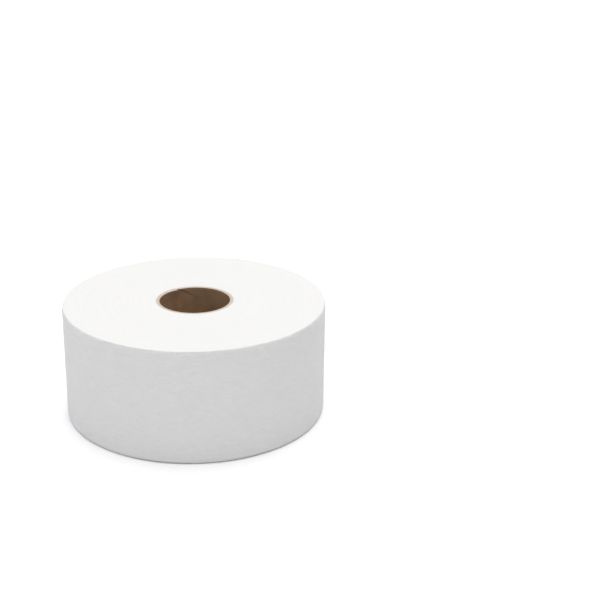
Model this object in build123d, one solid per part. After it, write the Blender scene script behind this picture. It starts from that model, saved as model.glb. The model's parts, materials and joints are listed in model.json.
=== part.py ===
"""Toilet paper roll of the wide jumbo size: white two-ply tissue wound on a kraft-board core.

Lengths are in millimetres and angles in degrees. The roll stands on its end. Its axis is +Z
and the origin is the middle of the end that it stands on. The tissue's first turn is glued to
the core and its last turn is stuck down by its tail, so nothing on the roll moves.
"""

import os
from math import pi

from build123d import *

# The roll as a whole
ROLL_DIAMETER = 212.0  # over the tail edge, the widest place
SHEET_WIDTH = 92.5  # width of the paper web, and so the height of the standing roll

# The core, a tube of board strips wound in a helix
CORE_BORE = 57.0  # the hole that a holder's spindle goes through
CORE_WALL = 2.6  # all plies of board together
STRIP_WIDTH = 86.0  # width of one board strip, across its length
INNER_PLY = 0.65  # thickness of the innermost strip
JOINT_GAP = 0.8  # gap left between the edges of the innermost strip
JOINT_ANGLE = 124.0  # where that gap meets the upper rim, from +X toward +Y

# The winding, one long web that ends at its tail edge
TAIL_THICKNESS = 0.3  # the last two-ply sheet with its embossing
TAIL_ANGLE = 75.0  # where the tail edge lies, from +X toward +Y
EDGE_BEVEL = 1.0  # softness of the outer edges at both ends
TURN_PITCH = 8.0  # from one line of the wound web to the next, a bundle of many real turns
TURN_LINE_DEPTH = 0.35  # how far a line lies below the end face
TURN_LINE_WIDTH = 1.2

# What follows from them
ROLL_RADIUS = ROLL_DIAMETER / 2
BORE_RADIUS = CORE_BORE / 2
CORE_RADIUS = BORE_RADIUS + CORE_WALL
QUARTERS_PER_TURN = 4
QUARTER = 360 / QUARTERS_PER_TURN


def direction(angle):
    """Unit vector in the XY plane at the given angle from +X."""
    return Vector(1, 0, 0).rotate(Axis.Z, angle)


def spiral_quarters(start_radius, growth, start_angle, turns):
    """Centre, radius and start angle of each quarter arc of a spiral that goes round the axis.

    The radius grows by the given amount in each turn. The next centre steps back along the
    common radius by as much as the radius grows, so neighbouring arcs meet with one tangent.
    """
    step = growth / QUARTERS_PER_TURN
    centre = (direction(start_angle + QUARTER) + direction(start_angle + 2 * QUARTER)) * (step / 2)
    for quarter in range(QUARTERS_PER_TURN * turns):
        angle = start_angle + quarter * QUARTER
        yield centre, start_radius + quarter * step, angle
        centre = centre - direction(angle + QUARTER) * step


def turn_quarter(profile, centre, angle):
    """The given XZ profile turned through a quarter about its own centre."""
    return Pos(centre) * Rot(0, 0, angle) * revolve(profile, Axis.Z, QUARTER)


def joint_lead():
    """Height that the joint of a strip climbs in one turn, when its edges just meet."""
    around = CORE_BORE * pi
    return STRIP_WIDTH / (1 - (STRIP_WIDTH / around) ** 2) ** 0.5


def ply_joint():
    """The helical gap between the edges of the innermost strip, as the solid that it takes away."""
    overrun = 2 * JOINT_GAP
    lead = joint_lead()
    path = Helix(lead, SHEET_WIDTH + 2 * overrun, BORE_RADIUS)
    start = Plane(path @ 0, x_dir=(1, 0, 0), z_dir=path % 0)
    gap = sweep(start * Rectangle(2 * INNER_PLY, JOINT_GAP), path, is_frenet=True)
    climb_angle = 360 * (SHEET_WIDTH + overrun) / lead
    return Pos(0, 0, -overrun) * Rot(0, 0, JOINT_ANGLE - climb_angle) * gap


def make_core():
    """Kraft-board tube with the joint of its innermost strip open along the bore."""
    wall = Pos(BORE_RADIUS + CORE_WALL / 2, SHEET_WIDTH / 2) * Rectangle(CORE_WALL, SHEET_WIDTH)
    return revolve(Plane.XZ * wall, Axis.Z) - ply_joint()


def wound_body():
    """The wound web up to its tail edge, as quarters whose radius grows by one sheet in a turn."""
    first_radius = ROLL_RADIUS - TAIL_THICKNESS
    quarters = []
    for centre, radius, angle in spiral_quarters(first_radius, TAIL_THICKNESS, TAIL_ANGLE, 1):
        half = Pos(radius / 2, SHEET_WIDTH / 2) * Rectangle(radius, SHEET_WIDTH)
        half = chamfer(half.vertices().group_by(Axis.X)[-1], EDGE_BEVEL)
        quarters.append(turn_quarter(Plane.XZ * half, centre, angle))
    return Part() + quarters


def turn_lines():
    """The spiral line of the web's edge on both end faces, as the solids that it takes away.

    It runs out to one pitch from the outer wall and ends at the angle of the tail edge.
    """
    turns = int((ROLL_RADIUS - CORE_RADIUS) / TURN_PITCH) - 2
    first_radius = ROLL_RADIUS - (turns + 1) * TURN_PITCH
    half_width = TURN_LINE_WIDTH / 2
    lines = []
    for centre, radius, angle in spiral_quarters(first_radius, TURN_PITCH, TAIL_ANGLE, turns):
        corners = [(half_width, 0), (0, TURN_LINE_DEPTH), (-half_width, 0), (0, -TURN_LINE_DEPTH)]
        notch = Polygon(*corners, align=None)
        for end_height in (0, SHEET_WIDTH):
            section = Plane.XZ * Pos(radius, end_height) * notch
            lines.append(turn_quarter(section, centre, angle))
    return lines


def make_winding():
    """All turns of the tissue as one solid, tight on the core and flush with both its ends."""
    core_space = Pos(0, 0, SHEET_WIDTH / 2) * Cylinder(CORE_RADIUS, 2 * SHEET_WIDTH)
    return wound_body() - core_space - turn_lines()


def main():
    """Write each piece of the roll as its own STEP file."""
    os.makedirs("parts", exist_ok=True)
    pieces = {"core": make_core(), "tissue_winding": make_winding()}
    for name, piece in pieces.items():
        export_step(piece, f"parts/{name}.step")


main()
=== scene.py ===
"""Toilet paper roll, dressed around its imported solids.

Lengths are in metres and angles in radians, apart from the camera's angles in degrees and its
sensor in millimetres. The roll stands on its end, its axis is +Z and the origin is the middle
of that end.
"""

from __future__ import annotations

import json
import logging
import math
from dataclasses import dataclass
from enum import Enum
from typing import Union

import bmesh
import bpy
from mathutils import Matrix, Vector, noise

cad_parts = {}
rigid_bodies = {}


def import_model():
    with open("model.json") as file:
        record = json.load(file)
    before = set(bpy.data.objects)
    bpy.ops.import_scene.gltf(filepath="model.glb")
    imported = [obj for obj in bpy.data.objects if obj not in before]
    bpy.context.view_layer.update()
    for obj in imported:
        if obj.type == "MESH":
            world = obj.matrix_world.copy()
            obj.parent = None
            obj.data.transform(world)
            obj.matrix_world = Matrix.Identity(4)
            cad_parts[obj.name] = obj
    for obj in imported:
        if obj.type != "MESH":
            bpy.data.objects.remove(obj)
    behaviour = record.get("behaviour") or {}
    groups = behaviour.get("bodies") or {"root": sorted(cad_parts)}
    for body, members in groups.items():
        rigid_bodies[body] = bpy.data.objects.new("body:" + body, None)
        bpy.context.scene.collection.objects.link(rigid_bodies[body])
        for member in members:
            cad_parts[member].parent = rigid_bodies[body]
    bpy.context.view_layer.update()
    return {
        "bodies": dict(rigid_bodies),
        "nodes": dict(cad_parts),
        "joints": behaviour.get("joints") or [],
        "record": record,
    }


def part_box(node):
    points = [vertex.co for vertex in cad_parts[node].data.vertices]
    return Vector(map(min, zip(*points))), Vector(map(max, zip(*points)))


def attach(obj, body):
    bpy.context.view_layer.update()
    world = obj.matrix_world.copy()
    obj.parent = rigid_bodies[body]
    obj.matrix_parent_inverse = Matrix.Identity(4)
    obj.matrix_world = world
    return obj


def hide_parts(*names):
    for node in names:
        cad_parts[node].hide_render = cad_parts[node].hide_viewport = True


LOG = logging.getLogger("toilet_roll")
MM = 0.001
FULL_TURN = 2 * math.pi
UP = Vector((0, 0, 1))
BODY = "root"
BORE_MOUNT = "core_bore"
WEB_MAP = "web"
SAME_PLACE = 0.001 * MM
NOISE_MIDDLE = 0.5

Color = tuple[float, float, float]
Span = tuple[float, float]
Socket = bpy.types.NodeSocket
Value = Union[Socket, float, tuple]


class Node(Enum):
    """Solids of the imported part."""

    CORE = "core"
    WINDING = "tissue_winding"


class Slot(Enum):
    """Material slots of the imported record."""

    BOARD = "kraft_board"
    TISSUE = "tissue"


class Row(Enum):
    """Rows of the noise field, one for each unevenness, so that no two run alike."""

    EDGE_DROP = 2.0
    TEAR_TEETH = 3.1
    BANDS = 4.0
    JOINT = 5.0
    TEAR_WANDER = 6.2
    RINGS = 7.3
    TAIL_LIFT = 9.0


@dataclass(frozen=True)
class RollSizes:
    """Sizes of the real roll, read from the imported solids."""

    bore_radius: float
    core_radius: float
    roll_radius: float
    width: float

    @classmethod
    def from_frame(cls, frame: dict) -> RollSizes:
        """Reads the roll's sizes from the loaded frame.


        Returns:
            The sizes in metres.
        """
        bore = next(m for m in frame["record"]["mounts"] if m["name"] == BORE_MOUNT)
        core_low, core_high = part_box(Node.CORE.value)
        low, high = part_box(Node.WINDING.value)
        return cls(
            bore_radius=bore["dims"]["r_mm"] * MM,
            core_radius=(core_high.x - core_low.x) / 2,
            roll_radius=max(high.x, high.y, -low.x, -low.y),
            width=high.z - low.z,
        )


@dataclass(frozen=True)
class Web:
    """The outermost turns of the tissue web: a spiral that ends at the tail edge.

    Near its upper and lower edge the wall leans in along a part of an ellipse. The edge share
    is how much of the ellipse's height that part takes.
    """

    roll_radius: float
    width: float
    growth: float = 0.30 * MM
    thickness: float = 0.24 * MM
    tail_angle: float = math.radians(75)
    lap: float = math.radians(16)
    edge_reach: float = 5.0 * MM
    upper_inset: float = 1.4 * MM
    lower_inset: float = 0.6 * MM
    edge_share: float = 0.93

    def radius(self, turned: float) -> float:
        """Radius of the web's face, where the last turn starts at 0 and ends at a full turn."""
        return self.roll_radius + self.growth * (turned / FULL_TURN - 0.5)

    def radius_below(self, angle: float) -> float:
        """Radius at the given angle of the turn that lies below the last one."""
        start = self.tail_angle - self.lap
        return self.radius((angle - start) % FULL_TURN - self.lap - FULL_TURN)

    def inset(self, height: float) -> float:
        """How far the wall leans in toward the axis, near the web's upper and lower edge.

        Args:
            height: height on the standing roll.

        Returns:
            The inset in metres.
        """
        to_edge = max(min(height, self.width - height), 0.0)
        left = self.edge_share * (1 - min(to_edge / self.edge_reach, 1.0))
        most = self.upper_inset if height > self.width / 2 else self.lower_inset
        return most * (1 - math.sqrt(1 - left * left))

    def length(self) -> float:
        """Length of the last turn with the lap that it starts under."""
        return (FULL_TURN + self.lap) * self.roll_radius


def smooth_step(value: float, start: float, end: float) -> float:
    """Rises smoothly from 0 at start to 1 at end."""
    share = min(max((value - start) / (end - start), 0.0), 1.0)
    return share * share * (3 - 2 * share)


def polar(radius: float, angle: float, height: float) -> Vector:
    """Point at the given radius, angle and height."""
    return Vector((radius * math.cos(angle), radius * math.sin(angle), height))


def drift(x: float, y: float, z: float = 0.0) -> float:
    """Smooth noise between about -1 and 1 at a point given in its own wavelengths."""
    return noise.noise(Vector((x, y, z)))


def opaque(color: Color, factor: float = 1.0) -> tuple[float, float, float, float]:
    """The colour, lighter or darker by a factor, with full alpha."""
    return tuple(channel * factor for channel in color) + (1.0,)


class Graph:
    """Adds nodes to a node tree and links them.

    A Mix node's sockets for colours share their names with others, so they go by number.
    """

    MIX_FIRST = 6
    MIX_SECOND = 7
    MIX_RESULT = 2

    def __init__(self, tree: bpy.types.NodeTree) -> None:
        """Starts from an empty tree."""
        tree.nodes.clear()
        self.tree = tree

    def add(self, kind: str, inputs: dict | None = None, **settings: object) -> bpy.types.Node:
        """Adds one node.

        Args:
            kind: the node's type name.
            inputs: for each socket's name or index, a value or another node's output.
            settings: properties of the node itself.

        Returns:
            The new node.
        """
        node = self.tree.nodes.new(kind)
        for name, value in settings.items():
            setattr(node, name, value)
        for socket, value in (inputs or {}).items():
            if isinstance(value, Socket):
                self.tree.links.new(value, node.inputs[socket])
            else:
                node.inputs[socket].default_value = value
        return node

    def math(self, operation: str, *values: Value) -> Socket:
        """Adds a Math node and returns its output."""
        inputs = dict(enumerate(values))
        return self.add("ShaderNodeMath", inputs, operation=operation).outputs[0]

    def blend(self, share: Value, first: Value, second: Value) -> Socket:
        """Adds a colour mix.

        Args:
            share: 0 gives the first colour and 1 the second.
            first: colour or output.
            second: colour or output.

        Returns:
            The mixed colour.
        """
        inputs = {0: share, self.MIX_FIRST: first, self.MIX_SECOND: second}
        return self.add("ShaderNodeMix", inputs, data_type="RGBA").outputs[self.MIX_RESULT]

    def remap(self, value: Socket, span: Span, to: Span) -> Socket:
        """Adds a smooth Map Range node.

        Args:
            value: the output to map.
            span: the two values between which the result changes.
            to: the results at those values.

        Returns:
            The mapped value.
        """
        inputs = dict(enumerate((value, *span, *to)))
        node = self.add("ShaderNodeMapRange", inputs, interpolation_type="SMOOTHSTEP")
        return node.outputs[0]

    def bump(self, height: Socket, depth: float, normal: Socket | None = None) -> Socket:
        """Adds a Bump node.

        Args:
            height: output that goes from 0 to 1.
            depth: what a height of 1 stands for, in metres.
            normal: output of the bump below this one.

        Returns:
            The bent normal.
        """
        inputs = {"Height": height, "Distance": depth, "Strength": 1.0}
        if normal is not None:
            inputs["Normal"] = normal
        return self.add("ShaderNodeBump", inputs).outputs[0]

    def seen(self) -> Socket:
        """Adds the mask of the rays that show a surface to the eye.

        Returns:
            1 for camera, glossy and transmission rays, and 0 for all others.
        """
        path = self.add("ShaderNodeLightPath").outputs
        either = self.math("MAXIMUM", path["Is Camera Ray"], path["Is Glossy Ray"])
        return self.math("MAXIMUM", either, path["Is Transmission Ray"])

    def noise(self, vector: Socket, scale: Value, detail: float) -> Socket:
        """Adds a noise texture and returns its value."""
        inputs = {"Vector": vector, "Scale": scale, "Detail": detail}
        return self.add("ShaderNodeTexNoise", inputs).outputs[0]

    def place(self) -> Socket:
        """Adds the Object coordinates and returns them."""
        return self.add("ShaderNodeTexCoord").outputs["Object"]

    def parts(self, vector: Socket) -> bpy.types.NodeOutputs:
        """Adds a node that takes a vector apart and returns its three outputs."""
        return self.add("ShaderNodeSeparateXYZ", {"Vector": vector}).outputs

    def stretched(self, vector: Socket, scale: tuple) -> Socket:
        """Adds a node that scales a vector along each axis and returns its output."""
        return self.add("ShaderNodeMapping", {"Vector": vector, "Scale": scale}).outputs[0]

    def shaded(self, color: Socket, level: Socket) -> Socket:
        """Adds a node that makes a colour lighter or darker and returns its output."""
        inputs = {"Vector": color, "Scale": level}
        return self.add("ShaderNodeVectorMath", inputs, operation="SCALE").outputs[0]

    def flat_place(self, place: Socket) -> tuple[Socket, Socket]:
        """Adds the place brought down to the XY plane.

        Args:
            place: Object coordinates.

        Returns:
            The flat place and its distance from the axis.
        """
        flat = self.stretched(place, (1.0, 1.0, 0.0))
        length = self.add("ShaderNodeVectorMath", {"Vector": flat}, operation="LENGTH")
        return flat, length.outputs["Value"]


def new_group(
    name: str, inputs: dict, outputs: dict
) -> tuple[Graph, bpy.types.Node, bpy.types.Node]:
    """Makes an empty shader node group with named sockets.

    Args:
        name: the group's name.
        inputs: socket types by name, going in.
        outputs: socket types by name, coming out.

    Returns:
        The group's graph, its input node and its output node.
    """
    tree = bpy.data.node_groups.new(name, "ShaderNodeTree")
    for label, kind in inputs.items():
        tree.interface.new_socket(label, in_out="INPUT", socket_type=kind)
    for label, kind in outputs.items():
        tree.interface.new_socket(label, in_out="OUTPUT", socket_type=kind)
    graph = Graph(tree)
    return graph, graph.add("NodeGroupInput"), graph.add("NodeGroupOutput")


def fibre_group(
    squeeze: float = 5.0, detail: float = 3.0, cloud_size: float = 5.0
) -> bpy.types.NodeTree:
    """Group that gives the felted fibres of paper and board.

    Fibres are short noise streaks lying along and across the sheet over a cloudy formation.

    Args:
        squeeze: how many times longer a fibre is than it is wide.
        detail: octaves of the noise.
        cloud_size: size of a cloud in fibre lengths.

    Returns:
        The node group, with Vector in metres, Fibre Length, Height and Clouds.
    """
    float_kind, vector_kind = "NodeSocketFloat", "NodeSocketVector"
    graph, source, result = new_group(
        "paper_fibres",
        {"Vector": vector_kind, "Fibre Length": float_kind},
        {"Height": float_kind, "Clouds": float_kind},
    )
    vector, length = source.outputs["Vector"], source.outputs["Fibre Length"]
    per_metre = graph.math("DIVIDE", 1.0, length)
    along = graph.stretched(vector, (1.0, squeeze, squeeze))
    across = graph.stretched(vector, (squeeze, 1.0, 1.0))
    total = graph.math(
        "ADD", graph.noise(along, per_metre, detail), graph.noise(across, per_metre, detail)
    )
    clouds = graph.noise(vector, graph.math("DIVIDE", 1 / cloud_size, length), detail)
    graph.tree.links.new(graph.math("MULTIPLY", total, 0.5), result.inputs["Height"])
    graph.tree.links.new(clouds, result.inputs["Clouds"])
    return graph.tree


@dataclass(frozen=True)
class Finish:
    """What every finish has: a name and a colour."""

    name: str
    color: Color

    def start(self) -> tuple[bpy.types.Material, Graph]:
        """Makes the finish's material, still empty.

        Returns:
            The material and its graph.
        """
        material = bpy.data.materials.new(self.name)
        material.use_nodes = True
        return material, Graph(material.node_tree)


@dataclass(frozen=True, kw_only=True)
class PaperFinish(Finish):
    """Matt surface of felted fibres, the same for tissue and board but for its numbers."""

    fibres: bpy.types.NodeTree
    fibre_length: float
    fibre_depth: float
    roughness: float
    sheen: float = 0.0
    specular: float = 0.25

    def felt(self, graph: Graph, place: Socket) -> bpy.types.Node:
        """Adds the fibre group with this finish's own length of fibre."""
        inputs = {"Vector": place, "Fibre Length": self.fibre_length}
        return graph.add("ShaderNodeGroup", inputs, node_tree=self.fibres)

    def surface(self, graph: Graph, color: Socket, normal: Socket) -> None:
        """Adds the surface shader and the material's output.

        Args:
            graph: the material's graph.
            color: output for the base colour.
            normal: output for the normal.
        """
        inputs = {
            "Base Color": color,
            "Normal": normal,
            "Roughness": self.roughness,
            "Specular IOR Level": self.specular,
            "Sheen Weight": self.sheen,
        }
        shader = graph.add("ShaderNodeBsdfPrincipled", inputs)
        graph.add("ShaderNodeOutputMaterial", {"Surface": shader.outputs[0]})


@dataclass(frozen=True, kw_only=True)
class CrepedTissue(PaperFinish):
    """Face of the white tissue: shallow crepe ripples, soft mottle and fine fibres.

    Spans are values of the noise between which a tone changes, and tones are factors of the
    finish's colour.
    """

    web_length: float
    streak_around: float = 7.0 * MM
    streak_height: float = 2.0 * MM
    streak_depth: float = 0.85 * MM
    streak_detail: float = 2.5
    streak_span: Span = (0.3, 0.7)
    streak_tone: float = 0.98
    crepe_around: float = 0.4 * MM
    crepe_height: float = 3.0 * MM
    crepe_depth: float = 0.34 * MM
    crepe_detail: float = 1.5
    crepe_span: Span = (0.35, 0.6)
    crepe_tones: Span = (0.965, 1.0)
    fibre_length: float = 1.4 * MM
    fibre_depth: float = 0.08 * MM

    def material(self) -> bpy.types.Material:
        """Builds the material on the sheet's own UV map, whose U runs along the web.

        Returns:
            The tissue's material.
        """
        material, graph = self.start()
        along = graph.parts(graph.add("ShaderNodeUVMap", uv_map=WEB_MAP).outputs[0])[0]
        height = graph.parts(graph.place())[2]
        around = graph.math("MULTIPLY", along, self.web_length)
        spot = graph.add("ShaderNodeCombineXYZ", {0: around, 1: height}).outputs[0]
        streak_spot = graph.stretched(spot, (1 / self.streak_around, 1 / self.streak_height, 1.0))
        streaks = graph.noise(streak_spot, 1.0, self.streak_detail)
        crepe_spot = graph.stretched(spot, (1 / self.crepe_around, 1 / self.crepe_height, 1.0))
        crepe = graph.noise(crepe_spot, 1.0, self.crepe_detail)
        mottle = graph.remap(streaks, self.streak_span, (0.0, 1.0))
        tone = graph.blend(mottle, opaque(self.color, self.streak_tone), opaque(self.color))
        color = graph.shaded(tone, graph.remap(crepe, self.crepe_span, self.crepe_tones))
        normal = graph.bump(streaks, self.streak_depth)
        normal = graph.bump(crepe, self.crepe_depth, normal)
        felt = self.felt(graph, spot).outputs["Height"]
        self.surface(graph, color, graph.bump(felt, self.fibre_depth, normal))
        return material


@dataclass(frozen=True, kw_only=True)
class WoundEdges(PaperFinish):
    """End face of the winding: the cut edges of many turns, as fine uneven rings."""

    ring_width: float = 0.9 * MM
    ring_depth: float = 0.25 * MM
    ring_detail: float = 4.0
    ring_span: Span = (0.25, 0.75)
    ring_tone: float = 0.965
    wander: float = 1.2 * MM
    wander_length: float = 40 * MM
    wander_detail: float = 1.0
    fibre_length: float = 0.9 * MM
    fibre_depth: float = 0.1 * MM

    def material(self) -> bpy.types.Material:
        """Builds the material on the distance from the roll's axis.

        Returns:
            The end face's material.
        """
        material, graph = self.start()
        place = graph.place()
        flat, radius = graph.flat_place(place)
        sway = graph.noise(flat, 1 / self.wander_length, self.wander_detail)
        sway = graph.math("SUBTRACT", sway, NOISE_MIDDLE)
        wandered = graph.math("MULTIPLY_ADD", sway, self.wander, radius)
        inputs = {"W": wandered, "Scale": 1 / self.ring_width, "Detail": self.ring_detail}
        rings = graph.add("ShaderNodeTexNoise", inputs, noise_dimensions="1D").outputs[0]
        shade = graph.remap(rings, self.ring_span, (0.0, 1.0))
        color = graph.blend(shade, opaque(self.color, self.ring_tone), opaque(self.color))
        normal = graph.bump(rings, self.ring_depth)
        felt = self.felt(graph, place).outputs["Height"]
        self.surface(graph, color, graph.bump(felt, self.fibre_depth, normal))
        return material


@dataclass(frozen=True, kw_only=True)
class KraftBoard(PaperFinish):
    """Brown kraft board with warmer patches and dark flecks, a paler cut edge at both rims, and
    painted shade deep in the open joint.

    Spans are values of what drives a colour, between which it changes: of the noise, of the depth
    in plies for the painted shade in the joint, of how far the board faces up, and of the way to
    the next ply. Shares say how far the colour changes.
    """

    warm_color: Color
    cut_color: Color
    ply_line_color: Color
    fleck_color: Color
    bore_radius: float
    width: float
    ply: float
    rim_reach: float = 1.2 * MM
    rim_start: float = 0.8
    facing_span: Span = (0.5, 0.85)
    ply_line_span: Span = (0.38, 0.5)
    ply_line_share: float = 0.5
    # Painted shade in the open joint: the face darkens to this factor between these depths in
    # plies.
    painted_shade_span: Span = (0.1, 0.6)
    painted_joint_shade: float = 0.45
    patch_size: float = 32.0 * MM
    patch_shift: tuple[float, float, float] = (40 * MM, 30 * MM, 80 * MM)
    patch_detail: float = 3.0
    patch_span: Span = (0.36, 0.68)
    patch_share: float = 0.9
    cloud_span: Span = (0.3, 0.7)
    cloud_tones: Span = (0.86, 1.1)
    fleck_size: float = 1.1 * MM
    fleck_detail: float = 2.0
    fleck_span: Span = (0.64, 0.74)
    fleck_share: float = 0.5
    fibre_length: float = 2.6 * MM
    fibre_depth: float = 0.15 * MM

    def material(self) -> bpy.types.Material:
        """Builds the material; what faces up or down is a cut edge with its ply lines.

        Returns:
            The board's material.
        """
        material, graph = self.start()
        place = graph.place()
        felt = self.felt(graph, place).outputs
        depth = graph.math("SUBTRACT", graph.flat_place(place)[1], self.bore_radius)
        face = self.face(graph, place, felt["Clouds"], depth)
        color = graph.blend(self.cut_share(graph, place), face, self.cut_edge(graph, depth))
        self.surface(graph, color, graph.bump(felt["Height"], self.fibre_depth))
        return material

    def face(self, graph: Graph, place: Socket, clouds: Socket, depth: Socket) -> Socket:
        """Adds the colour of the board's face, with painted shade where it lies deep in the open
        joint.

        Args:
            graph: the material's graph.
            place: Object coordinates.
            clouds: the cloudy formation of the fibres.
            depth: depth under the bore's surface.

        Returns:
            The colour, with warmer patches, cloudy formation and dark flecks.
        """
        spot = graph.add("ShaderNodeMapping", {"Vector": place, "Location": self.patch_shift})
        patches = graph.noise(spot.outputs[0], 1 / self.patch_size, self.patch_detail)
        patches = graph.remap(patches, self.patch_span, (0.0, self.patch_share))
        warm = graph.blend(patches, opaque(self.color), opaque(self.warm_color))
        formation = graph.remap(clouds, self.cloud_span, self.cloud_tones)
        # Painted shade: the face turns darker the deeper it lies in the open joint, where little
        # light reaches.
        start, end = self.painted_shade_span
        shade = graph.remap(depth, (start * self.ply, end * self.ply), (1.0, self.painted_joint_shade))
        tone = graph.shaded(warm, graph.math("MULTIPLY", formation, shade))
        flecks = graph.noise(place, 1 / self.fleck_size, self.fleck_detail)
        flecks = graph.remap(flecks, self.fleck_span, (0.0, self.fleck_share))
        return graph.blend(flecks, tone, opaque(self.fleck_color))

    def cut_share(self, graph: Graph, place: Socket) -> Socket:
        """Adds the mask of the cut rims.

        Args:
            graph: the material's graph.
            place: Object coordinates.

        Returns:
            1 near an end where the board faces up or down, and 0 elsewhere.
        """
        normal = graph.add("ShaderNodeNewGeometry").outputs["Normal"]
        upward = graph.math("ABSOLUTE", graph.parts(normal)[2])
        facing = graph.remap(upward, self.facing_span, (0.0, 1.0))
        middle = self.width / 2
        off_middle = graph.math("SUBTRACT", graph.parts(place)[2], middle)
        from_end = graph.math("SUBTRACT", middle, graph.math("ABSOLUTE", off_middle))
        near_span = (self.rim_start * self.rim_reach, self.rim_reach)
        near = graph.remap(from_end, near_span, (1.0, 0.0))
        return graph.math("MULTIPLY", facing, near)

    def cut_edge(self, graph: Graph, depth: Socket) -> Socket:
        """Adds the colour of the cut rim, with a darker line between neighbouring plies.

        Args:
            graph: the material's graph.
            depth: depth under the bore's surface.

        Returns:
            The rim's colour.
        """
        in_ply = graph.math("FRACT", graph.math("DIVIDE", depth, self.ply))
        off_middle = graph.math("ABSOLUTE", graph.math("SUBTRACT", in_ply, 0.5))
        share = graph.remap(off_middle, self.ply_line_span, (0.0, self.ply_line_share))
        return graph.blend(share, opaque(self.cut_color), opaque(self.ply_line_color))


@dataclass(frozen=True, kw_only=True)
class PaleFloor(Finish):
    """White sweep under the roll, which the camera sees as white but for the roll's shadow."""

    seen_factor: float

    def material(self) -> bpy.types.Material:
        """Builds the material, whose colour is lifted for the rays that show it to the eye.

        Returns:
            The floor's material.
        """
        material, graph = self.start()
        color = graph.blend(graph.seen(), opaque(self.color), opaque(self.color, self.seen_factor))
        matt = graph.add("ShaderNodeBsdfDiffuse", {"Color": color})
        graph.add("ShaderNodeOutputMaterial", {"Surface": matt.outputs[0]})
        return material


def add_piece(bm: bmesh.types.BMesh, name: str, material: bpy.types.Material) -> bpy.types.Object:
    """Turns a finished bmesh into a smooth object at the origin.

    Args:
        bm: the mesh, which is freed.
        name: the piece's name.
        material: its finish.

    Returns:
        The new object.
    """
    mesh = bpy.data.meshes.new(name)
    bm.to_mesh(mesh)
    bm.free()
    mesh.polygons.foreach_set("use_smooth", [True] * len(mesh.polygons))
    mesh.materials.append(material)
    piece = bpy.data.objects.new(name, mesh)
    bpy.context.scene.collection.objects.link(piece)
    return piece


def hold(piece: bpy.types.Object, node: Node) -> bpy.types.Object:
    """Lets a piece stand for a solid: it rides on the roll and the solid is hidden.

    Args:
        piece: the finished piece.
        node: the solid that it stands for.

    Returns:
        The same piece.
    """
    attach(piece, BODY)
    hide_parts(node.value)
    return piece


def add_outline(bm: bmesh.types.BMesh, points: list[tuple[float, float]]) -> None:
    """Adds a closed outline in the XZ plane.

    Args:
        bm: the mesh that takes it.
        points: radius and height of each corner, in order.
    """
    verts = [bm.verts.new((radius, 0.0, height)) for radius, height in points]
    for start, end in zip(verts, verts[1:] + verts[:1]):
        bm.edges.new((start, end))


def close_shell(bm: bmesh.types.BMesh) -> None:
    """Merges the doubles of a turned shell and points its faces outwards."""
    bmesh.ops.remove_doubles(bm, verts=bm.verts[:], dist=SAME_PLACE)
    bmesh.ops.recalc_face_normals(bm, faces=bm.faces[:])


def turn_outline(bm: bmesh.types.BMesh, steps: int) -> None:
    """Turns all edges of the mesh once round the axis and closes the shell.

    Args:
        bm: the mesh, which holds a closed outline.
        steps: columns of faces in the turn.
    """
    geometry = bm.verts[:] + bm.edges[:]
    bmesh.ops.spin(
        bm, geom=geometry, cent=(0, 0, 0), axis=UP, angle=FULL_TURN, steps=steps, use_merge=True
    )
    close_shell(bm)


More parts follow.
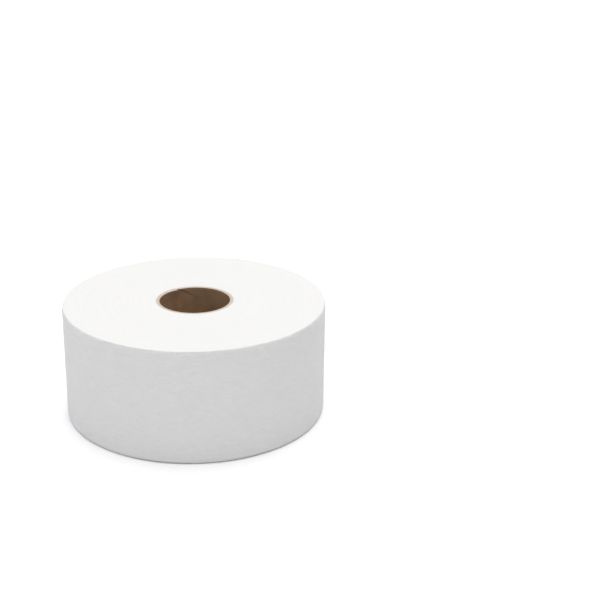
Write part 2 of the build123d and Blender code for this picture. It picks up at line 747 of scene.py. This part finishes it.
@dataclass
class WoundBody:
    """All turns of tissue under the last one, with the turns' edges on both end faces.

    Bands are the lines of a spiral on the end face, as how many there are in a pitch and how
    deep they are.
    """

    sizes: RollSizes
    web: Web
    outer_rounding: float = 0.3 * MM
    inner_rounding: float = 0.4 * MM
    rounding_segments: int = 4
    ring_cuts: int = 112
    wall_cuts: int = 30
    steps: int = 300
    turn_pitch: float = 8.0 * MM
    bands: tuple[Span, ...] = ((1, 0.05 * MM), (3, 0.03 * MM), (5, 0.02 * MM))
    ring_length: float = 1.7 * MM
    ring_depth: float = 0.04 * MM
    patch_length: float = 14 * MM
    patches_around: float = 2.2
    patch_depth: float = 0.07 * MM
    relief_fade: float = 3 * MM
    base_rise: float = 1.05 * MM
    rise_width: float = 6.0 * MM
    tolerance: float = 0.01 * MM

    def outline(self, bm: bmesh.types.BMesh, outer_radius: float) -> None:
        """Adds the half section, its corners rounded and its end faces cut into rings.

        Args:
            bm: the mesh that takes it.
            outer_radius: radius of the wall that the last turn lies on.
        """
        inner, width = self.sizes.core_radius, self.sizes.width
        add_outline(bm, [(inner, 0), (outer_radius, 0), (outer_radius, width), (inner, width)])
        bmesh.ops.contextual_create(bm, geom=bm.edges[:])
        roundings = {inner: self.inner_rounding, outer_radius: self.outer_rounding}
        for radius, rounding in roundings.items():
            bmesh.ops.bevel(
                bm,
                geom=[vert for vert in bm.verts if abs(vert.co.x - radius) < self.tolerance],
                offset=rounding,
                segments=self.rounding_segments,
                profile=0.5,
                affect="VERTICES",
                material=-1,
            )
        bmesh.ops.delete(bm, geom=bm.faces[:], context="FACES_ONLY")
        long_edges = [edge for edge in bm.edges if edge.calc_length() > width / 2]
        ends = [edge for edge in long_edges if abs(edge.verts[0].co.z - edge.verts[1].co.z) < MM]
        outside = outer_radius - MM
        walls = [edge for edge in long_edges if min(v.co.x for v in edge.verts) > outside]
        bmesh.ops.subdivide_edges(bm, edges=ends, cuts=self.ring_cuts)
        bmesh.ops.subdivide_edges(bm, edges=walls, cuts=self.wall_cuts)

    def face_relief(self, radius: float, angle: float, side: int) -> float:
        """Height of the end face over its plane, from the spiral of turns and their wander.

        Args:
            radius: distance from the axis.
            angle: angle round the axis.
            side: 1 on the upper face and -1 on the lower.

        Returns:
            The height in metres, away from the paper.
        """
        turn = (angle - self.web.tail_angle) / FULL_TURN
        inward = (self.web.roll_radius - radius) / self.turn_pitch
        relief = 0.0
        for count, depth in self.bands:
            relief -= depth * (math.cos(FULL_TURN * (count * inward + turn)) + 1)
        ring = drift(radius / self.ring_length, side * Row.RINGS.value)
        across = self.patches_around * math.cos(angle)
        along = self.patches_around * math.sin(angle) + side
        patch = drift(radius / self.patch_length, across, along)
        return relief + self.ring_depth * (ring - 1) + self.patch_depth * (patch - 1)

    def shape(self, bm: bmesh.types.BMesh, outer_radius: float) -> None:
        """Winds the shell into the web's spiral and lays the turns' relief on its ends.

        Args:
            bm: the turned shell.
            outer_radius: radius of the wall that the last turn lies on.
        """
        inner, width = self.sizes.core_radius, self.sizes.width
        rise_start = outer_radius - self.rise_width
        for vert in bm.verts:
            radius, angle = vert.co.xy.length, math.atan2(vert.co.y, vert.co.x)
            side = 1 if vert.co.z > width / 2 else -1
            from_edges = min(outer_radius - radius, radius - inner)
            relief = self.face_relief(radius, angle, side)
            relief *= smooth_step(from_edges, 0, self.relief_fade)
            if side < 0:
                relief -= self.base_rise * smooth_step(radius, rise_start, outer_radius)
            from_end = min(vert.co.z, width - vert.co.z)
            vert.co.z += side * relief * (1 - smooth_step(from_end, 0, self.relief_fade))
            spiral = (self.web.radius_below(angle) - outer_radius) * (radius / outer_radius) ** 2
            outermost = smooth_step(radius, rise_start, outer_radius - MM)
            lean = self.web.inset(vert.co.z) * outermost
            vert.co.xy *= 1 + (spiral - lean) / radius

    def build(self, material: bpy.types.Material) -> bpy.types.Object:
        """Makes the body of turns.

        Args:
            material: finish of the turns' edges.

        Returns:
            The piece, which stands for the winding with the last turn.
        """
        outer_radius = self.web.radius(-FULL_TURN)
        bm = bmesh.new()
        self.outline(bm, outer_radius)
        turn_outline(bm, self.steps)
        self.shape(bm, outer_radius)
        return hold(add_piece(bm, "wound_body", material), Node.WINDING)


@dataclass
class LastTurn:
    """The last turn of the web, from under its own tail once round to the tail edge.

    The rows of the sheet crowd toward its edges, and its lower edge rises off the floor by the
    base rise, which dies out upwards the faster, the higher its power is.
    """

    sizes: RollSizes
    web: Web
    columns: int = 380
    rows: int = 112
    crowding: float = 0.6
    base_rise: float = 1.05 * MM
    rise_power: int = 8
    loose_length: float = 26 * MM
    tail_lift: float = 1.0 * MM
    lift_length: float = 24 * MM
    lift_mean: float = 0.55
    lift_swing: float = 0.45
    tear_teeth: float = 0.35 * MM
    teeth_length: float = 1.1 * MM
    teeth_reach: float = 3 * MM
    tear_wander: float = 1.6 * MM
    wander_length: float = 34 * MM
    ripple_depth: float = 0.09 * MM
    ripple_around: float = 6.0 * MM
    ripple_height: float = 2.6 * MM
    band_depth: float = 0.05 * MM
    band_around: float = 60 * MM
    band_height: float = 30 * MM
    edge_dip: float = 0.1 * MM
    dip_length: float = 31 * MM
    dip_width: float = MM

    def build(self, material: bpy.types.Material) -> bpy.types.Object:
        """Makes the sheet from a flat grid, wraps it and gives it its thickness.

        Args:
            material: finish of the tissue's face.

        Returns:
            The piece, which stands for the winding with the wound body.
        """
        half = 0.5
        bm = bmesh.new()
        bm.loops.layers.uv.new(WEB_MAP)
        bmesh.ops.create_grid(
            bm, x_segments=self.columns, y_segments=self.rows, size=half, calc_uvs=True
        )
        for vert in bm.verts:
            vert.co = self.wrapped(vert.co.x + half, vert.co.y + half)
        bmesh.ops.recalc_face_normals(bm, faces=bm.faces[:])
        self.face_outward(bm)
        bmesh.ops.solidify(bm, geom=bm.faces[:], thickness=self.web.thickness)
        return hold(add_piece(bm, "last_turn", material), Node.WINDING)

    def face_outward(self, bm: bmesh.types.BMesh) -> None:
        """Flips the open sheet if its faces point at the axis.

        Args:
            bm: the wrapped sheet, whose faces all point the same way.
        """
        bm.faces.ensure_lookup_table()
        face = bm.faces[0]
        if face.normal.dot(face.calc_center_median() * Vector((1, 1, 0))) < 0:
            bmesh.ops.reverse_faces(bm, faces=bm.faces[:])

    def wrapped(self, along: float, across: float) -> Vector:
        """Place of a point of the flat sheet on the roll.

        Args:
            along: 0 at the hidden start and 1 at the tail edge.
            across: 0 at the lower and 1 at the upper edge.

        Returns:
            The point on the sheet's outer face.
        """
        width, web = self.sizes.width, self.web
        crowd = self.crowding * math.sin(FULL_TURN * across) / FULL_TURN
        height = width * (across - crowd)
        length = along * web.length()
        to_tail = web.length() - length
        turned = length / web.roll_radius - web.lap
        angle = web.tail_angle + turned + self.raggedness(to_tail, height) / web.roll_radius
        radius = web.radius(turned) + self.face_relief(length, height) + self.lift(to_tail, height)
        radius -= web.inset(height)
        drop = self.edge_drop(min(height, width - height), length)
        if height < width / 2:
            height += drop + self.base_rise * (1 - height / (width / 2)) ** self.rise_power
        else:
            height -= drop
        return polar(radius, angle, height)

    def raggedness(self, to_tail: float, height: float) -> float:
        """How far the torn tail edge runs out past a straight line.

        Args:
            to_tail: distance to the tail edge along the web.
            height: place across the web.

        Returns:
            The shift along the web, which dies out away from the edge.
        """
        teeth = self.tear_teeth * drift(height / self.teeth_length, Row.TEAR_TEETH.value)
        wander = self.tear_wander * drift(height / self.wander_length, Row.TEAR_WANDER.value)
        teeth *= 1 - smooth_step(to_tail, 0, self.teeth_reach)
        wander *= 1 - smooth_step(to_tail, 0, self.loose_length)
        return teeth + wander

    def face_relief(self, length: float, height: float) -> float:
        """Crepe ripples and the soft unevenness of a wound web.

        Args:
            length: place along the web.
            height: place across it.

        Returns:
            Height over the plain wall.
        """
        ripple = drift(length / self.ripple_around, height / self.ripple_height)
        band = drift(length / self.band_around, height / self.band_height, Row.BANDS.value)
        return self.ripple_depth * ripple + self.band_depth * band

    def lift(self, to_tail: float, height: float) -> float:
        """How far the tail stands off the turn below: it is stuck down, but for its last end.

        Args:
            to_tail: distance to the tail edge along the web.
            height: place across the web.

        Returns:
            The lift in metres.
        """
        free = (1 - smooth_step(to_tail, 0.0, self.loose_length)) ** 2
        wave = drift(height / self.lift_length, Row.TAIL_LIFT.value)
        return self.tail_lift * free * (self.lift_mean + self.lift_swing * wave)

    def edge_drop(self, to_edge: float, length: float) -> float:
        """How far the web's edge lies below the end face, more in one place than in another.

        Args:
            to_edge: distance to the nearer edge of the web.
            length: place along the web.

        Returns:
            The drop in metres.
        """
        wave = 0.5 + 0.5 * drift(length / self.dip_length, Row.EDGE_DROP.value)
        return self.edge_dip * wave * (1 - min(to_edge / self.dip_width, 1.0))


@dataclass
class BoardCore:
    """Spiral tube of kraft board: three plain plies and an inner one whose edges nearly meet.

    The inner ply's joint is open at the rims and closes by the closed share at the closed
    depth. One dent beside the joint lowers the upper rim.
    """

    sizes: RollSizes
    ply: float = 0.65 * MM
    strip_width: float = 86 * MM
    joint_gap: float = 0.8 * MM
    joint_angle: float = math.radians(124)
    closed_depth: float = 11 * MM
    closed_share: float = 0.95
    joint_wander: float = 0.05
    wander_length: float = 7 * MM
    pulled_gaps: int = 8
    steps: int = 216
    levels: int = 48
    wall_levels: int = 8
    rim_bevel: float = 0.12 * MM
    bevel_segments: int = 2
    sharp_angle: float = math.radians(50)
    notch: float = 0.08 * MM
    recess: float = 0.2 * MM
    rim_fade: float = 1.5 * MM
    rim_wander: float = 0.08 * MM
    wanders_around: float = 3.0
    dent_depth: float = 0.5 * MM
    dent_reach: float = math.radians(40)
    dent_start: float = 0.04

    def lead(self) -> float:
        """Height that the joint climbs in one turn."""
        around = FULL_TURN * self.sizes.bore_radius
        return self.strip_width / math.sqrt(1 - (self.strip_width / around) ** 2)

    def gap_angle(self) -> float:
        """Angle round the bore that the open joint takes."""
        slope = self.lead() / (FULL_TURN * self.sizes.bore_radius)
        return self.joint_gap / math.sin(math.atan(slope)) / self.sizes.bore_radius

    def joint_at(self, height: float) -> float:
        """Angle of the joint's middle at the given height."""
        return self.joint_angle - FULL_TURN * (self.sizes.width - height) / self.lead()

    def build_outer_plies(self, material: bpy.types.Material) -> bpy.types.Object:
        """Makes the outer plies as one tube with a fine groove between the plies' cut ends.

        Args:
            material: finish of the board.

        Returns:
            The piece, which stands for the core with the inner ply.
        """
        inner, outer = self.sizes.bore_radius + self.ply, self.sizes.core_radius
        width, bevel, levels = self.sizes.width, self.rim_bevel, self.wall_levels
        rim = [(inner + bevel, 0.0)]
        for joint in range(1, round((outer - inner) / self.ply)):
            radius = inner + joint * self.ply
            rim += [(radius - self.notch, 0.0), (radius, self.notch), (radius + self.notch, 0.0)]
        rim.append((outer - bevel, 0.0))
        heights = [bevel, *(width * level / levels for level in range(1, levels)), width - bevel]
        outline = rim + [(outer, height) for height in heights]
        outline += [(radius, width - height) for radius, height in reversed(rim)]
        outline += [(inner, height) for height in reversed(heights)]
        bm = bmesh.new()
        add_outline(bm, outline)
        turn_outline(bm, self.steps)
        self.roughen(bm)
        return hold(add_piece(bm, "core_plies", material), Node.CORE)

    def build_inner_ply(self, material: bpy.types.Material) -> bpy.types.Object:
        """Makes the innermost ply: a C section that climbs and turns with the strip.

        Args:
            material: finish of the board.

        Returns:
            The piece, which stands for the core with the outer plies.
        """
        sizes, gap_angle = self.sizes, self.gap_angle()
        around = FULL_TURN - gap_angle
        climb = FULL_TURN * sizes.width / self.lead()
        rise = Vector((0, 0, sizes.width / self.levels))
        start = self.joint_at(0) + gap_angle / 2
        turn = {"cent": (0, 0, 0), "axis": UP, "use_merge": False}
        bm = bmesh.new()
        ends = [bm.verts.new(polar(sizes.bore_radius + off, start, 0)) for off in (0, self.ply)]
        bm.edges.new(ends)
        geometry = bm.verts[:] + bm.edges[:]
        bmesh.ops.spin(bm, geom=geometry, angle=around, steps=self.steps, **turn)
        geometry = bm.verts[:] + bm.edges[:] + bm.faces[:]
        bmesh.ops.spin(bm, geom=geometry, angle=climb, dvec=rise, steps=self.levels, **turn)
        close_shell(bm)
        bmesh.ops.bevel(
            bm,
            geom=[edge for edge in bm.edges if edge.calc_face_angle(0.0) > self.sharp_angle],
            offset=self.rim_bevel,
            offset_type="OFFSET",
            segments=self.bevel_segments,
            profile=0.5,
            affect="EDGES",
            material=-1,
        )
        self.close_joint(bm)
        self.roughen(bm)
        return hold(add_piece(bm, "core_inner_ply", material), Node.CORE)

    def close_joint(self, bm: bmesh.types.BMesh) -> None:
        """Draws the strip's two edges together away from the rims, where the joint is tighter.

        Args:
            bm: the inner ply, with its joint open by the same width all along.
        """
        half_gap = self.gap_angle() / 2
        for vert in bm.verts:
            from_rim = min(vert.co.z, self.sizes.width - vert.co.z)
            share = self.closed_share * smooth_step(from_rim, 0, self.closed_depth)
            share += self.joint_wander * drift(vert.co.z / self.wander_length, Row.JOINT.value)
            off = math.atan2(vert.co.y, vert.co.x) - self.joint_at(vert.co.z)
            off = (off + math.pi) % FULL_TURN - math.pi
            pull = 1 - smooth_step(abs(off), half_gap, self.pulled_gaps * half_gap)
            turn = -math.copysign(half_gap * share * pull, off)
            vert.co.xy = Matrix.Rotation(turn, 2) @ vert.co.xy

    def roughen(self, bm: bmesh.types.BMesh) -> None:
        """Gives the tube a knife-cut rim that is a little uneven.

        Args:
            bm: the finished shell.
        """
        width = self.sizes.width
        for vert in bm.verts:
            angle = math.atan2(vert.co.y, vert.co.x)
            upper = vert.co.z > width / 2
            near = 1 - smooth_step(min(vert.co.z, width - vert.co.z), 0, self.rim_fade)
            spot = self.wanders_around * math.cos(angle), self.wanders_around * math.sin(angle)
            low = self.recess + self.rim_wander * drift(*spot, 1.0 if upper else -1.0)
            if upper:
                past = (angle - self.joint_angle) % FULL_TURN
                fading = math.exp(-past / self.dent_reach)
                low += self.dent_depth * smooth_step(past, 0, self.dent_start) * fading
            vert.co.z += near * (-low if upper else low)


@dataclass(frozen=True)
class Camera:
    """The photograph's view, found from the ellipses of the roll's rim, base and core."""

    place: tuple[float, float, float] = (87.8 * MM, -894.6 * MM, 439.6 * MM)
    heading: float = -0.17
    pitch_down: float = 21.14
    lean: float = 0.89
    focal_pixels: float = 1185.6
    frame_pixels: float = 600.0
    sensor: float = 36.0

    def build(self) -> None:
        """Adds the camera, level but for its pitch and a slight lean to one side."""
        data = bpy.data.cameras.new("view")
        data.sensor_width = self.sensor
        data.lens = self.focal_pixels / self.frame_pixels * self.sensor
        camera = bpy.data.objects.new("view", data)
        turn = Matrix.Rotation(math.radians(-self.heading), 4, "Z")
        tilt = Matrix.Rotation(math.radians(90 - self.pitch_down), 4, "X")
        roll = Matrix.Rotation(math.radians(self.lean), 4, "Z")
        camera.matrix_world = Matrix.Translation(self.place) @ turn @ tilt @ roll
        bpy.context.scene.collection.objects.link(camera)
        bpy.context.scene.camera = camera


@dataclass(frozen=True)
class Studio:
    """Soft light from a bright patch overhead and a little behind, over a wide pale floor.

    Spans are how far a direction points to the right, from -1 to 1.
    """

    horizon: float = 0.55
    glow: float = 2.85
    glow_from: tuple[float, float, float] = (0.02, 0.116, 0.99)
    glow_power: float = 6.0
    right_shade: float = 1.0
    right_span: Span = (0.5, 0.9)
    left_shade: float = 0.34
    left_span: Span = (-1.0, 0.4)
    cool: Color = (0.985, 0.99, 1.02)
    warm: Color = (1.015, 1.0, 0.985)
    tint_span: Span = (-0.8, 0.8)
    floor_reach: float = 6.0
    floor_cells: int = 8

    def build_floor(self, material: bpy.types.Material) -> bpy.types.Object:
        """Lays the floor at the roll's base.

        Args:
            material: finish of the floor.

        Returns:
            The floor.
        """
        bm = bmesh.new()
        cells = self.floor_cells
        bmesh.ops.create_grid(bm, x_segments=cells, y_segments=cells, size=self.floor_reach)
        floor = add_piece(bm, "floor", material)
        return floor

    def light(self, graph: Graph) -> bpy.types.Node:
        """Adds the dome of light.

        Args:
            graph: the world's graph.

        Returns:
            The Background node, bright overhead and shaded toward both sides.
        """
        toward = graph.add("ShaderNodeTexCoord").outputs["Generated"]
        right = graph.parts(toward)[0]
        inputs = {0: toward, 1: self.glow_from}
        facing = graph.add("ShaderNodeVectorMath", inputs, operation="DOT_PRODUCT")
        facing = graph.math("MAXIMUM", facing.outputs["Value"], 0.0)
        bright = graph.math("POWER", facing, self.glow_power)
        level = graph.math("MULTIPLY_ADD", bright, self.glow, self.horizon)
        to_right = graph.remap(right, self.right_span, (1.0, 1.0 - self.right_shade))
        to_left = graph.remap(right, self.left_span, (1.0 - self.left_shade, 1.0))
        level = graph.math("MULTIPLY", graph.math("MULTIPLY", level, to_right), to_left)
        side = graph.remap(right, self.tint_span, (0.0, 1.0))
        tint = graph.blend(side, opaque(self.cool), opaque(self.warm))
        return graph.add("ShaderNodeBackground", {"Color": tint, "Strength": level})

    def build_sky(self) -> None:
        """Sets the world: white to the camera, and a dome of light to everything else."""
        world = bpy.data.worlds.new("studio")
        world.use_nodes = True
        bpy.context.scene.world = world
        graph = Graph(world.node_tree)
        light = self.light(graph)
        inputs = {"Color": opaque((1.0, 1.0, 1.0)), "Strength": 1.0}
        white = graph.add("ShaderNodeBackground", inputs)
        inputs = {0: graph.seen(), 1: light.outputs[0], 2: white.outputs[0]}
        both = graph.add("ShaderNodeMixShader", inputs)
        graph.add("ShaderNodeOutputWorld", {"Surface": both.outputs[0]})


def report(piece: bpy.types.Object) -> None:
    """Logs a finished piece with its size in millimetres and its faces."""
    size = " x ".join(f"{side / MM:.1f}" for side in piece.dimensions)
    LOG.info("%s: %s mm, %d faces", piece.name, size, len(piece.data.polygons))


def main() -> None:
    """Builds the roll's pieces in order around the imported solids, then the stage."""
    logging.basicConfig(level=logging.INFO, format="%(name)s: %(message)s")
    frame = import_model()
    sizes = RollSizes.from_frame(frame)
    bpy.context.scene.view_settings.view_transform = "Standard"

    fibres = fibre_group()
    web = Web(sizes.roll_radius, sizes.width)
    core = BoardCore(sizes)
    edges = WoundEdges(
        name="wound_edges",
        color=(0.933, 0.933, 0.918),
        roughness=0.9,
        sheen=0.15,
        fibres=fibres,
    )
    face = CrepedTissue(
        name="creped_tissue",
        color=(0.945, 0.945, 0.945),
        roughness=0.85,
        sheen=0.3,
        fibres=fibres,
        web_length=web.length(),
    )
    board = KraftBoard(
        name="kraft_board",
        color=(0.350, 0.230, 0.138),
        roughness=0.8,
        fibres=fibres,
        warm_color=(0.470, 0.296, 0.175),
        cut_color=(0.70, 0.60, 0.51),
        ply_line_color=(0.52, 0.41, 0.33),
        fleck_color=(0.24, 0.15, 0.09),
        bore_radius=sizes.bore_radius,
        width=sizes.width,
        ply=core.ply,
    ).material()
    report(WoundBody(sizes, web).build(edges.material()))
    report(LastTurn(sizes, web).build(face.material()))
    report(core.build_outer_plies(board))
    report(core.build_inner_ply(board))

    studio = Studio()
    floor = PaleFloor(name="pale_floor", color=(0.86, 0.86, 0.86), seen_factor=1.35)
    report(studio.build_floor(floor.material()))
    studio.build_sky()
    Camera().build()

    bpy.context.view_layer.update()


if __name__ == "__main__":
    main()
